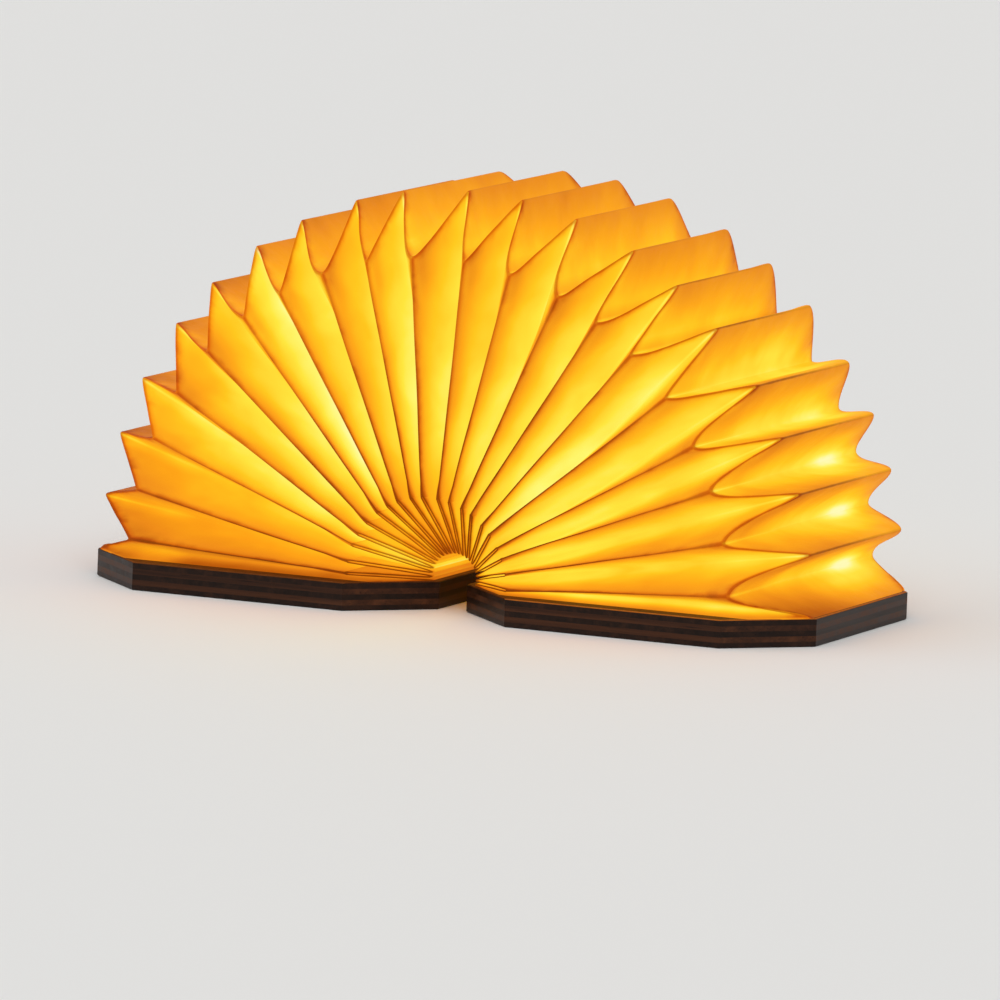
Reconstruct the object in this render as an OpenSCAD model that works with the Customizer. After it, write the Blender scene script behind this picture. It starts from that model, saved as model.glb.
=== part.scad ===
// Folding book lamp: two octagonal covers of laminated wood, joined by a closed
// ring of pleated paper that opens into a half circle and lights up from inside.
//
// Frame: X = 0 is the fold line, Y = 0 the middle of the covers, Z = 0 the table.
// The right cover (+X) holds the battery, the control board and the light panel.

/* [Covers] */
// Length of each cover, from its spine edge to its fore-edge
cover_reach = 137; // [115:1:180]
// Depth of each cover, along the fold line
cover_depth = 140; // [116:1:180]
// Leg of the 45 degree corner cuts
corner_cut = 26.6; // [20:0.2:32]
// Thickness of one wood ply; each cover is five plies thick
ply_t = 2; // [1.8:0.1:2.6]
// Distance from the fold line to each spine edge
spine_half_gap = 5.5; // [4.5:0.1:7]
// Bevel round the outer face of each cover
edge_bevel = 0.5; // [0.3:0.1:1]

/* [Shade] */
// Number of whole pleats between the covers
pleat_count = 19; // [11:1:27]
// Height of the folded shade between the closed covers
stack_height = 5; // [4:0.25:8]
// Distance from the fold line to the inner edge of the pleats
hub_radius = 8.4; // [6:0.1:9]
// Inset of the pleats from the fore-edge of the covers
fore_inset = 1.5; // [0.5:0.1:4]
// Inset of the pleats from the long edges of the covers
side_inset = 0.3; // [0.2:0.1:2]
// Thickness of the paper
paper_t = 0.2; // [0.15:0.05:0.4]
// Thickness of the paper border that is glued to each cover
border_t = 0.3; // [0.2:0.1:0.5]
// Width of the border that is glued down
border_w = 8; // [5:0.5:12]
// Clearance between neighbouring pleats where they meet
pleat_gap = 0.2; // [0.1:0.05:0.3]

/* [Light panel] */
// Size of the light panel's board along X
led_board_w = 43; // [34:1:50]
// Size of the light panel's board along Y
led_board_l = 58; // [40:1:62]
// Thickness of the light panel's board
led_board_t = 1.6; // [1:0.1:2]
// Number of emitters along X
led_columns = 4; // [2:1:5]
// Number of emitters along Y
led_rows = 6; // [3:1:7]
// Thickness of the diffuser
diffuser_t = 1.8; // [1:0.1:2]

/* [Battery and control board] */
// Width of the battery
battery_w = 34; // [26:1:36]
// Length of the battery
battery_l = 50; // [36:1:52]
// Thickness of the battery
battery_t = 5; // [3:0.1:5.2]
// Width of the control board
board_w = 28; // [22:1:30]
// Length of the control board
board_l = 32; // [26:1:36]
// Thickness of the control board
board_t = 1; // [0.8:0.1:1.6]

/* [Magnets] */
// Diameter of the closing magnets
magnet_d = 8; // [5:0.5:10]
// Distance from the fore-edge to the middle of a closing magnet
magnet_edge = 10; // [8:0.5:14]
// Diameter of the magnet that wakes the position sensor
trigger_d = 6; // [4:0.5:8]

/* [Fits] */
// Clearance of a magnet in its bore, on the diameter
magnet_fit = 0.2; // [0.1:0.05:0.4]
// Clearance round the boards and the battery in their pocket
pocket_fit = 0.5; // [0.3:0.1:1]
// Clearance round the diffuser in its window
window_fit = 0.2; // [0.1:0.05:0.4]
// Clearance round the charging socket in the wood
socket_fit = 0.2; // [0.1:0.05:0.4]

/* [Hidden] */
$fn = 48;
eps = 0.01;

// Covers
cover_t = 5 * ply_t;
cover_fore = spine_half_gap + cover_reach;

// Fold: the pleats stand evenly round an axis half a stack above the covers, and
// lie between the two glued borders when the lamp is closed
axis_h = cover_t + stack_height / 2;
pleat_step = 180 / (pleat_count + 1);
stack_pitch = (stack_height - 2 * border_t) / (pleat_count + 1);
pleat_fore = cover_fore - fore_inset;
pleat_side = cover_depth / 2 - side_inset;

// Each fold is as wide as a corner cut, less the insets, so that the mitred
// corners of the pleats follow the covers when the lamp is closed
fold_width = corner_cut - 2 * side_inset;

// Where the sections of a pleat stand, as shares of its long sides
side_shares = [0.25, 0.5, 0.75];
// Rows across a whole pleat and across a half pleat, each with its share of the
// way from the middle plane to the edge and its share of the way to the glue line
whole_rows = [for (t = [-1, -0.85, -0.6, -0.35, -0.15, 0, 0.15, 0.35, 0.6, 0.85, 1]) [t, 0]];
half_rows = [[0, 1], [0.1, 0.6], [0.25, 0.2], [0.5, 0], [0.75, 0], [1, 0]];

// Light panel
led_ledge = 2;
led_pocket_w = led_board_w + 2 * pocket_fit;
led_pocket_l = led_board_l + 2 * pocket_fit;
window_w = led_pocket_w + 2 * led_ledge;
window_l = led_pocket_l + 2 * led_ledge;
window_r = 4;
emitter = [3.5, 2.8, 0.7];
emitter_pitch_x = led_board_w / led_columns;
emitter_pitch_y = led_board_l / led_rows;

// Charging socket, in the long edge behind the right cover's control board
socket_w = 8.94;
socket_h = 3.16;
socket_l = 7.35;
socket_wall = 0.3;
socket_setback = 0.3;
tongue = [6.7, 6, 0.7];
socket_corner_gap = 18;

// Places inside the right cover
pocket_wall = 4;
board_rear = cover_depth / 2 - 2;
socket_x = spine_half_gap + corner_cut + socket_corner_gap;
battery_x = spine_half_gap + 8.5 + battery_w / 2;
battery_y = -11;
led_x = socket_x + board_w / 2 + pocket_wall + led_pocket_w / 2;
board_y = board_rear - board_l / 2;
board_top = ply_t + board_t;
led_top = ply_t + led_board_t;
magnet_x = cover_fore - magnet_edge;
magnet_y = cover_depth / 2 - corner_cut;
magnet_t = ply_t;
sensor = [3, 1.4, 1.1];
sensor_x = socket_x - board_w / 2 + 4;
sensor_y = board_y + 2;

// Leads
lead_d = 1.2;
lead_pitch = 2.4;
lead_overlap = 4;
lead_channel = 8;
lead_z = board_top + lead_d / 2 + 0.1;
battery_lead_x = max(socket_x - board_w / 2 + lead_channel / 2, battery_x);
led_lead_x = socket_x + board_w / 2 - lead_channel / 2;
led_lead_y = (led_rows / 2 - 1) * emitter_pitch_y;
led_lead_z = led_top + lead_d / 2 + 0.1;

SIDES = ["right", "left"];
PLIES = ["outer_board", "core_ply_1", "core_ply_2", "core_ply_3", "inner_board"];

function two_digits(i) = str(i < 10 ? "0" : "", i);
function pleat_name(i) = str("pleat_", two_digits(i));

// ---- Outlines ----

// The covers' octagon, shrunk by inset on every side
module octagon(inset = 0) {
    low = spine_half_gap + inset;
    high = cover_fore - inset;
    side = cover_depth / 2 - inset;
    cut = corner_cut - inset * (2 - sqrt(2));
    polygon([
        [low, side - cut], [low + cut, side], [high - cut, side], [high, side - cut],
        [high, cut - side], [high - cut, -side], [low + cut, -side], [low, cut - side]
    ]);
}

// A rectangle with true round corners, centred on the origin
module rounded_rectangle(size, r) {
    square([size[0] - 2 * r, size[1]], center = true);
    square([size[0], size[1] - 2 * r], center = true);
    for (x = [-1, 1], y = [-1, 1])
        translate([x * (size[0] / 2 - r), y * (size[1] / 2 - r)])
            circle(r);
}

// A slot with two half-round ends
module stadium(w, h) {
    square([w - h, h], center = true);
    for (x = [-1, 1])
        translate([x * (w - h) / 2, 0])
            circle(d = h);
}

// Puts a right-hand shape on its side of the lamp
module on_side(side) {
    if (side == "left")
        mirror([1, 0, 0]) children();
    else
        children();
}

// ---- Wooden covers ----

// Pocket for the battery, the control board, the light panel and their leads
module electronics_pocket(led_size) {
    translate([battery_x, battery_y])
        square([battery_w + 2 * pocket_fit, battery_l + 2 * pocket_fit], center = true);
    translate([socket_x, board_y])
        square([board_w + 2 * pocket_fit, board_l + 2 * pocket_fit], center = true);
    translate([led_x, 0])
        square(led_size, center = true);
    translate([battery_lead_x - lead_channel / 2, battery_y])
        square([lead_channel, board_y - battery_y]);
    translate([led_lead_x - lead_channel / 2, led_lead_y - lead_channel / 2])
        square([lead_channel, board_y - led_lead_y]);
    translate([led_lead_x, led_lead_y - lead_channel / 2])
        square([led_x - led_lead_x, lead_channel]);
}

// Way through the rear edge for the charging socket
module socket_cut() {
    translate([socket_x, cover_depth / 2 + eps, board_top + socket_h / 2])
        rotate([90, 0, 0])
            linear_extrude(socket_l)
                stadium(socket_w + 2 * socket_fit, socket_h + 2 * socket_fit);
}

module magnet_bores(height) {
    for (y = [-magnet_y, magnet_y])
        translate([magnet_x, y, -eps])
            cylinder(d = magnet_d + magnet_fit, h = height + 2 * eps);
}

// Outer face of a cover, bevelled all round where it meets the table
module outer_board(side) {
    color("#3a2418")
        on_side(side)
            hull() {
                linear_extrude(eps) octagon(edge_bevel);
                translate([0, 0, edge_bevel])
                    linear_extrude(ply_t - edge_bevel) octagon();
            }
}

// One of the three core plies, counted from the outer face
module core_ply(side, count) {
    top = count == 3;
    color(count == 2 ? "#5a3a26" : "#2e1c12")
        on_side(side)
            difference() {
                translate([0, 0, count * ply_t])
                    linear_extrude(ply_t)
                        difference() {
                            octagon();
                            if (side == "right")
                                electronics_pocket([led_pocket_w, led_pocket_l]);
                        }
                if (side == "right")
                    socket_cut();
                if (top)
                    translate([0, 0, count * ply_t])
                        magnet_bores(ply_t);
                if (top && side == "left")
                    translate([sensor_x, sensor_y, count * ply_t - eps])
                        cylinder(d = trigger_d + magnet_fit, h = ply_t + 2 * eps);
            }
}

// Face of a cover inside the shade; the right one has the window for the light
module inner_board(side) {
    color("#4a2f1f")
        on_side(side)
            translate([0, 0, 4 * ply_t])
                linear_extrude(ply_t)
                    difference() {
                        octagon();
                        if (side == "right")
                            translate([led_x, 0])
                                rounded_rectangle([window_w, window_l], window_r);
                    }
}

module ply(side, name) {
    if (name == "outer_board") outer_board(side);
    if (name == "core_ply_1") core_ply(side, 1);
    if (name == "core_ply_2") core_ply(side, 2);
    if (name == "core_ply_3") core_ply(side, 3);
    if (name == "inner_board") inner_board(side);
}

// ---- Pleated shade ----

// Flat border of the shade, glued round the inner face of a cover
module paper_border(side) {
    color("#e08a20")
        on_side(side)
            translate([0, 0, cover_t])
                linear_extrude(border_t)
                    difference() {
                        octagon(side_inset);
                        octagon(side_inset + border_w);
                    }
}

// A point at share k of the way from a to b
function between(a, b, k) = a + (b - a) * k;

// Half the room that a pleat has between its two edges, at distance x
function half_room(x) = x * tan(pleat_step / 2) + (stack_pitch - pleat_gap) / 2;

// How far a fold still reaches once it leans over that much room
function fold_reach(room) = sqrt(pow(fold_width, 2) - pow(room, 2));

hub_room = half_room(hub_radius + fold_width);
fore_room = half_room(pleat_fore - fold_width);

// A pleat is a bellows fold with mitred corners. Along the hub and the fore-edge
// its middle stands out; along the front and the rear its edges stand out. Each
// line below runs from the middle of the hub round the front to the middle of the
// fore-edge, seen flat and shrunk by a list of insets, one for each station

// The middle of a pleat
function middle_line(inset) =
    let (hub_tip = [hub_radius, fold_reach(hub_room) - pleat_side])
    let (fore_tip = [pleat_fore, fold_reach(fore_room) - pleat_side])
    shrunk([
        [hub_radius, 0], hub_tip,
        for (k = side_shares) between(hub_tip, fore_tip, k),
        fore_tip, [pleat_fore, 0]
    ], inset);

// Its edges, where it meets its neighbours
function edge_line(inset) =
    let (hub_end = [hub_radius + fold_reach(hub_room), -pleat_side])
    let (fore_end = [pleat_fore - fold_reach(fore_room), -pleat_side])
    shrunk([
        [hub_end[0], 0], hub_end,
        for (k = side_shares) between(hub_end, fore_end, k),
        fore_end, [fore_end[0], 0]
    ], inset);

// Where a half pleat leaves the glued border
function glue_line(inset) =
    let (middle = middle_line(0 * inset), last = len(inset) - 1)
    shrunk([
        for (j = [0 : last])
            j < 2 || j > last - 2 ? middle[j] : [middle[j][0], border_w - pleat_side]
    ], inset);

// Moves hub stations towards the fore-edge, fore-edge stations towards the hub and
// all that lie at the front inwards
function shrunk(line, inset) =
    let (last = len(line) - 1)
    [
        for (j = [0 : last])
            let (along = j < 2 ? inset[j] : (j > last - 2 ? -inset[j] : 0))
            [line[j][0] + along, line[j][1] + (j == 0 || j == last ? 0 : inset[j])]
    ];

// Shape of the section at each station: how round it is at the middle and at the
// edge of the pleat. The hub walls stay clear of the neighbouring pleats
section_shape = [[1, 1.4], [1, 1.4], [1.1, 1.15], [1.3, 1], [1.3, 1], [1, 1.2], [1, 1.5]];

function section(t, shape) = 1 - pow(1 - pow(t, shape[0]), shape[1]);

// How far the inner skin lies inside the outer one at each station, so that the
// paper of a steep fold has its full thickness
no_inset = [for (s = section_shape) 0];
edge_start = edge_line(no_inset);
skin = [for (p = edge_start) paper_t * fold_width / half_room(p[0])];

// The front walls have more room where they meet the inner skin of the hub walls,
// so their own inner skin turns that corner deeper
hub_corner_x = edge_start[1][0];
room_share = half_room(hub_corner_x) / half_room(hub_corner_x + skin[1]);
corner_skin = fold_width * (1 - room_share) * section_shape[1][1];

// One point of a pleat at station j; layer 0 is the outer skin
function pleat_point(j, row, layer) =
    let (inset = layer * skin, reach = section(abs(row[0]), section_shape[j]))
    let (edge = edge_line(inset)[j] + [0, j == 1 ? layer * corner_skin : 0])
    let (flat = between(middle_line(inset)[j], edge, reach))
    let (placed = between(flat, glue_line(inset)[j], row[1]))
    [placed[0], placed[1], row[0] * half_room(edge_start[j][0])];

// All stations round the loop: the front half, then its mirror image at the rear
STATIONS = len(section_shape);
LOOP = concat([for (j = [0 : STATIONS - 1]) [j, 1]], [for (j = [STATIONS - 2 : -1 : 1]) [j, -1]]);

function mirrored(p, sign) = [p[0], sign * p[1], p[2]];

// A thin closed ring of paper, swept round the loop row by row
module paper_ring(across) {
    loops = len(LOOP);
    rows = len(across);
    points = [
        for (layer = [0, 1], row = across, s = LOOP)
            mirrored(pleat_point(s[0], row, layer), s[1])
    ];
    function at(layer, row, k) = (layer * rows + row) * loops + k % loops;
    outer_faces = [
        for (row = [0 : rows - 2], k = [0 : loops - 1])
            each [
                [at(0, row, k), at(0, row + 1, k), at(0, row + 1, k + 1)],
                [at(0, row, k), at(0, row + 1, k + 1), at(0, row, k + 1)]
            ]
    ];
    inner_faces = [
        for (row = [0 : rows - 2], k = [0 : loops - 1])
            each [
                [at(1, row, k), at(1, row + 1, k + 1), at(1, row + 1, k)],
                [at(1, row, k), at(1, row, k + 1), at(1, row + 1, k + 1)]
            ]
    ];
    rims = [
        for (k = [0 : loops - 1])
            each [
                [at(0, 0, k), at(0, 0, k + 1), at(1, 0, k + 1)],
                [at(0, 0, k), at(1, 0, k + 1), at(1, 0, k)],
                [at(0, rows - 1, k), at(1, rows - 1, k + 1), at(0, rows - 1, k + 1)],
                [at(0, rows - 1, k), at(1, rows - 1, k), at(1, rows - 1, k + 1)]
            ]
    ];
    polyhedron(points, concat(outer_faces, inner_faces, rims), convexity = 6);
}

// Places a flat shape at the plane of pleat i, counted from the right cover
module at_pleat(i) {
    translate([0, 0, axis_h])
        rotate([0, -i * pleat_step, 0])
            translate([0, 0, border_t + i * stack_pitch - stack_height / 2])
                children();
}

module pleat(i) {
    color("#f5a81e")
        at_pleat(i)
            paper_ring(whole_rows);
}

// The shade's first or last half pleat, which stands on the glued border
module half_pleat(side) {
    color("#f5a81e")
        on_side(side)
            at_pleat(0)
                paper_ring(half_rows);
}

// ---- Magnets ----

module closing_magnets(side) {
    color("silver")
        on_side(side)
            for (y = [-magnet_y, magnet_y])
                translate([magnet_x, y, 3 * ply_t])
                    cylinder(d = magnet_d, h = magnet_t);
}

module trigger_magnet() {
    color("silver")
        on_side("left")
            translate([sensor_x, sensor_y, 3 * ply_t])
                cylinder(d = trigger_d, h = magnet_t);
}

// ---- Light panel ----

module diffuser() {
    color("#fff4dc")
        translate([led_x, 0, 4 * ply_t])
            linear_extrude(diffuser_t)
                rounded_rectangle([window_w - 2 * window_fit, window_l - 2 * window_fit],
                                  window_r - window_fit);
}

module led_board() {
    color("#f4f4f0")
        translate([led_x, 0, ply_t])
            linear_extrude(led_board_t)
                square([led_board_w, led_board_l], center = true);
}

module led_emitters() {
    color("#ffd75a")
        for (column = [0 : led_columns - 1], row = [0 : led_rows - 1])
            translate([
                led_x + (column - (led_columns - 1) / 2) * emitter_pitch_x,
                (row - (led_rows - 1) / 2) * emitter_pitch_y,
                led_top + emitter[2] / 2
            ])
                cube(emitter, center = true);
}

// ---- Battery and control board ----

module battery() {
    color("#b9bcc2")
        translate([battery_x, battery_y, ply_t + battery_t / 2])
            cube([battery_w, battery_l, battery_t], center = true);
}

// One insulated lead with round elbows, along a list of points
module lead(points) {
    for (k = [0 : len(points) - 2]) {
        run = points[k + 1] - points[k];
        translate(points[k])
            rotate([0, acos(run[2] / norm(run)), atan2(run[1], run[0])])
                cylinder(d = lead_d, h = norm(run), $fn = 16);
    }
    for (k = [1 : 1 : len(points) - 2])
        translate(points[k])
            sphere(d = lead_d, $fn = 16);
}

module battery_leads() {
    start = battery_y + battery_l / 2;
    end = board_y - board_l / 2 + lead_overlap;
    color("firebrick")
        for (side = [-1, 1])
            translate([battery_lead_x + side * lead_pitch / 2, 0, lead_z])
                lead([[0, start, 0], [0, end, 0]]);
}

module led_leads() {
    start = board_y - board_l / 2 + lead_overlap;
    end = led_x - led_board_w / 2 + lead_overlap;
    color("firebrick")
        for (side = [-1, 1]) {
            x = led_lead_x + side * lead_pitch / 2;
            y = led_lead_y + side * lead_pitch / 2;
            z = max(lead_z, led_lead_z);
            lead([[x, start, z], [x, y, z], [end, y, z]]);
        }
}

module control_board() {
    color("#1f6b3a")
        translate([socket_x, board_y, ply_t + board_t / 2])
            cube([board_w, board_l, board_t], center = true);
}

// Charging chip, light driver, coil and two capacitors, as shares of the board
module board_components() {
    color("#202020")
        for (chip = [
            [0.2, 0.1, 4, 4, 0.9], [-0.15, -0.1, 5, 5, 1.2], [0.28, -0.12, 4, 4, 2.4],
            [-0.3, 0.18, 2, 1.2, 0.8], [0.05, 0.16, 2, 1.2, 0.8]
        ])
            translate([
                socket_x + chip[0] * board_w,
                board_y + chip[1] * board_l,
                board_top + chip[4] / 2
            ])
                cube([chip[2], chip[3], chip[4]], center = true);
}

module position_sensor() {
    color("#303030")
        translate([sensor_x, sensor_y, board_top + sensor[2] / 2])
            cube(sensor, center = true);
}

// ---- Charging socket ----

module at_socket_mouth() {
    translate([socket_x, cover_depth / 2 - socket_setback, board_top + socket_h / 2])
        rotate([90, 0, 0])
            children();
}

module socket_shell() {
    color("silver")
        at_socket_mouth()
            difference() {
                linear_extrude(socket_l)
                    stadium(socket_w, socket_h);
                translate([0, 0, -eps])
                    linear_extrude(socket_l - socket_wall + eps)
                        stadium(socket_w - 2 * socket_wall, socket_h - 2 * socket_wall);
            }
}

module socket_tongue() {
    color("#202020")
        at_socket_mouth()
            translate([0, 0, socket_l - socket_wall - tongue[1] / 2])
                cube([tongue[0], tongue[2], tongue[1]], center = true);
}

// ---- Every piece ----

for (side = SIDES, name = PLIES)
    ply(side, name);
for (side = SIDES)
    paper_border(side);
for (side = SIDES)
    half_pleat(side);
for (i = [1 : pleat_count])
    pleat(i);
for (side = SIDES)
    closing_magnets(side);
trigger_magnet();
diffuser();
led_board();
led_emitters();
led_leads();
battery();
battery_leads();
control_board();
board_components();
position_sensor();
socket_shell();
socket_tongue();
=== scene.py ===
"""Folding book lamp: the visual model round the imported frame.

All shapes are worked out in millimetres and written to Blender in metres.
"""
import math

import bpy
import numpy as np
from mathutils import Matrix, Vector

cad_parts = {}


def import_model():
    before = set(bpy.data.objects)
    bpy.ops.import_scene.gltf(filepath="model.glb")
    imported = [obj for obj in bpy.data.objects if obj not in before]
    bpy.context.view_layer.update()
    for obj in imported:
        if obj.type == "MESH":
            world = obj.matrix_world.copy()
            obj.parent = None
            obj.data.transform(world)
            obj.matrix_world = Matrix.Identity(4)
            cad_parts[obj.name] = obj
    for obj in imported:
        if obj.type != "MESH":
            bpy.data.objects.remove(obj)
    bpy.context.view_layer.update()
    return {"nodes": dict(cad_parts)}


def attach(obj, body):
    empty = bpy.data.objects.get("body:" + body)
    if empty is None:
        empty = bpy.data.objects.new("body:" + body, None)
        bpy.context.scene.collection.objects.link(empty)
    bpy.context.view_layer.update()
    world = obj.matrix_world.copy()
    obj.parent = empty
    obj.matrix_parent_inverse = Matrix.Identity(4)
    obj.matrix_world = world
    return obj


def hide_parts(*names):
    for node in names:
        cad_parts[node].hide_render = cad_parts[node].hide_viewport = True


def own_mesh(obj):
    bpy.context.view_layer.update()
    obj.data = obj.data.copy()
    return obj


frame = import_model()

MM = 0.001
COS_45 = 0.7071

# ---------------------------------------------------------------- sizes (mm)

# As in part.scad
COVER_T = 10.0
COVER_HALF_DEPTH = 70.0
SPINE_HALF_GAP = 5.5
COVER_REACH = 137.0
COVER_FORE = SPINE_HALF_GAP + COVER_REACH
CORNER_CUT = 26.6
STACK = 5.0            # the folded shade between the closed covers
BORDER_T = 0.3
PAPER_T = 0.2
PLEATS = 19
LAST = PLEATS + 1      # the left half pleat; the right one is pleat 0
AXIS_H = COVER_T + STACK / 2
STEP = 180.0 / LAST    # degrees from one pleat to the next
PITCH = (STACK - 2 * BORDER_T) / LAST

HUB_R = 8.4            # the pleats' middles along the fold line
FORE_R = 141.0         # the pleats' middles along the fore-edge
SIDE_Y = 69.7          # the pleats' edges along the long sides
HUB_TIP_Y = 43.8       # where a middle turns the hub corner
FORE_TIP_Y = 45.3      # and the fore corner
HUB_END = (31.5, -69.3)    # where an edge turns the hub corner, before rounding
FORE_END = (118.9, -69.4)  # and where it turns the fore corner
GLUE_Y = 61.7          # glue line of the half pleats
GLUE_CORNER = 18.0     # how far from its corners the glue line leaves the border's slant
SLIT = 0.5             # half width of the open slits beside the hub

# The lists below describe the hand-folded shade in the photograph, pleat by pleat
# from the right cover.

# Where each middle really stands, in degrees from its even place. Taken from what
# scratch programs printed that fitted these angles and the camera to points picked in
# the photograph, then rounded, with the largest made smaller by hand.
MIDDLE_SHIFT = [0.0, 0.2, 0.1, -0.4, -1.0, 0.2, -0.1, -0.7, 0.3, 0.2, -0.2,
                1.2, -0.1, 0.3, -0.4, -0.2, -0.7, 0.3, 0.3, 0.9, 0.0]

# Where each outer edge between two pleats really stands (mm from its even place), at
# two distances from the fold line. Worked out from line places that a scratch program
# measured in the photograph, and rounded.
EDGE_SHIFT_R = [35, 108]
EDGE_SHIFT_HUB = [0.5, 0.9, 1.7, 1.1, 1.2, -0.1, 0.8, -0.5, -0.6, -1.4,
                  -0.5, -1.3, -0.7, -1.6, -2.1, -1.3, -0.9, -2.1, -0.7, -1.5]
EDGE_SHIFT_FORE = [-1.0, -0.9, 0.1, -0.5, 0.3, 0.7, 0.3, -1.4, -1.1, -1.0,
                   -0.4, -1.1, -1.0, -0.8, -1.8, -0.9, -0.4, -0.7, 0.3, 0.3]

# How round each edge turns at its fore corner, from 0 (sharp) to 1, read off one by one
HOOK = [0.7, 0.55, 0.7, 0.55, 0.2, 0.3, 0.4, 0.4, 0.45, 0.1,
        0.55, 0.1, 0.7, 0.25, 0.15, 0.1, 0.05, 0.05, 0.05, 0.05]

# ------------------------------------------------------------ pleat geometry

# Rows of points from a pleat's middle (0) to its edge (1), closer at the folds
ACROSS = np.array([0, .02, .045, .075, .115, .165, .225, .295, .37, .45, .53, .61, .69,
                   .765, .83, .88, .92, .95, .973, .99, 1.0])
T_ROWS = np.concatenate([-ACROSS[:0:-1], ACROSS])

# Stations round the loop, closer at the corners: shares of the way from the middle
# of the hub or the fore-edge to its corner, and of the way along a side
HUB_RUN = [.2, .4, .58, .73, .84, .91, .95, .975, .99]
FORE_RUN = [.1, .2, .3, .38, .46, .54, .62, .70, .78, .85, .91, .95, .975, .99]
END_SHARES = [.004, .011, .021, .035, .053, .075, .101, .131]
SIDE_STEPS = 30

SIDE_RUN = 122.0       # about how far a side's middle runs between its corners
FORE_RUN_HALF = 45.0   # and a fore wall's edge from its corner to the lamp's middle
VALLEY_FADE = 13.0     # how fast the bright inner folds fade from their corners
NEAREST_R = 12.0       # nearer the fold line, a sideways shift turns no further
FAR_AWAY = 1e9


def smooth(a, b, x):
    """0 where x is before a, 1 where it is past b, and a soft step between."""
    t = np.clip((np.asarray(x, float) - a) / (b - a), 0, 1)
    return t * t * (3 - 2 * t)


def wander(x, seed, waves=4, base=0.035):
    """A slow random wobble between about -1 and 1 along x (mm)."""
    rng = np.random.default_rng(seed)
    out = np.zeros_like(x, dtype=float)
    for k in range(waves):
        out += rng.uniform(0.5, 1) * np.sin(base * (1 + 0.9 * k) * x + rng.uniform(0, 6.28)) / (1 + 0.7 * k)
    return out / 2.2


def side_shares():
    """Shares of the way along a side, closer together at its two corners."""
    middle = np.linspace(END_SHARES[-1], 1 - END_SHARES[-1], SIDE_STEPS)[1:-1]
    return [*END_SHARES, *middle, *[1 - u for u in END_SHARES[::-1]]]


def half_loop():
    """Stations from the middle of the hub round the front to the middle of the
    fore-edge: the pleat's middle, its edge, the glue line and the place (0-1 hub,
    1-4 front, 4-5 fore-edge)."""
    hub_tip, fore_tip = np.array([HUB_R, -HUB_TIP_Y]), np.array([FORE_R, -FORE_TIP_Y])
    hub_end, fore_end = np.array(HUB_END), np.array(FORE_END)
    middle, edge, place = [], [], []
    for u in [0.0, *HUB_RUN, 1.0]:
        middle.append([HUB_R, hub_tip[1] * u])
        edge.append([hub_end[0], hub_end[1] * u])
        place.append(u)
    for u in side_shares():
        middle.append(hub_tip + (fore_tip - hub_tip) * u)
        e = hub_end + (fore_end - hub_end) * u
        e[1] = -SIDE_Y + 0.4 * abs(2 * u - 1) ** 12
        edge.append(e)
        place.append(1 + 3 * u)
    for u in [1.0, *FORE_RUN[::-1], 0.0]:
        middle.append([FORE_R, fore_tip[1] * u])
        edge.append([fore_end[0], fore_end[1] * u])
        place.append(5 - u)
    middle, edge, place = np.array(middle), np.array(edge), np.array(place)
    glue = middle.copy()
    inside = (place > 1) & (place < 4)
    corner_x = [HUB_R, HUB_R + GLUE_CORNER, FORE_R - GLUE_CORNER, FORE_R]
    corner_y = [-HUB_TIP_Y, -GLUE_Y, -GLUE_Y, -FORE_TIP_Y]
    glue[inside, 1] = np.interp(glue[inside, 0], corner_x, corner_y)
    return middle, edge, glue, place


def round_corners(line, reach):
    """Moves each point of a closed line to the mean of the line within reach of it."""
    closed = np.concatenate([line, line, line])
    run = np.concatenate([[0], np.cumsum(np.linalg.norm(np.diff(closed, axis=0), axis=1))])
    out = line.copy()
    count = len(line)
    for j in range(count):
        if reach[j] > 0:
            w = run[count + j] + np.linspace(-reach[j], reach[j], 33)
            out[j] = [np.interp(w, run, closed[:, 0]).mean(), np.interp(w, run, closed[:, 1]).mean()]
    return out


def full_loop():
    """The whole ring: the front half, and its mirror image at the rear."""
    middle, edge, glue, place = half_loop()
    count = len(place)
    back = slice(count - 2, 0, -1)
    mirror = np.array([1, -1])
    middle, edge, glue = (np.concatenate([a, a[back] * mirror]) for a in (middle, edge, glue))
    place = np.concatenate([place, place[back]])
    side = np.concatenate([-np.ones(count), np.ones(count - 2)])
    # The rear corners of the fore-edge are rounder than the front ones
    fore = smooth(2.6, 3.4, place)
    middle = round_corners(middle, 1.2 + fore * np.where(side < 0, 0.7, 3.2))
    edge = round_corners(edge, 1.2 + 1.8 * fore * (side > 0))
    return middle, edge, glue, place, side


LOOP = full_loop()


def soft_abs(t, e):
    """The distance from 0, with a rounded bottom about e wide, and still 1 at 1."""
    return (np.sqrt(t * t + e * e) - e) / (np.sqrt(1 + e * e) - e)


def hub_section(t):
    """Share of the way to the edge on the hub side, where neighbouring pleats
    leave a slit of even width between them, with a round end."""
    r = np.linspace(HUB_R, HUB_END[0], 400)
    round_end = 1.6 * SLIT
    into_end = np.clip(r - (HUB_END[0] - round_end), 0, None) / round_end
    width = SLIT * np.sqrt(np.clip(1 - into_end ** 2, 0, 1))
    room = r * math.tan(math.radians(STEP / 2)) + PITCH / 2
    share = np.interp(np.abs(t), 1 - width / room, (r - HUB_R) / (HUB_END[0] - HUB_R), left=0.0)
    return np.clip(share, 0, 1)


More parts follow.
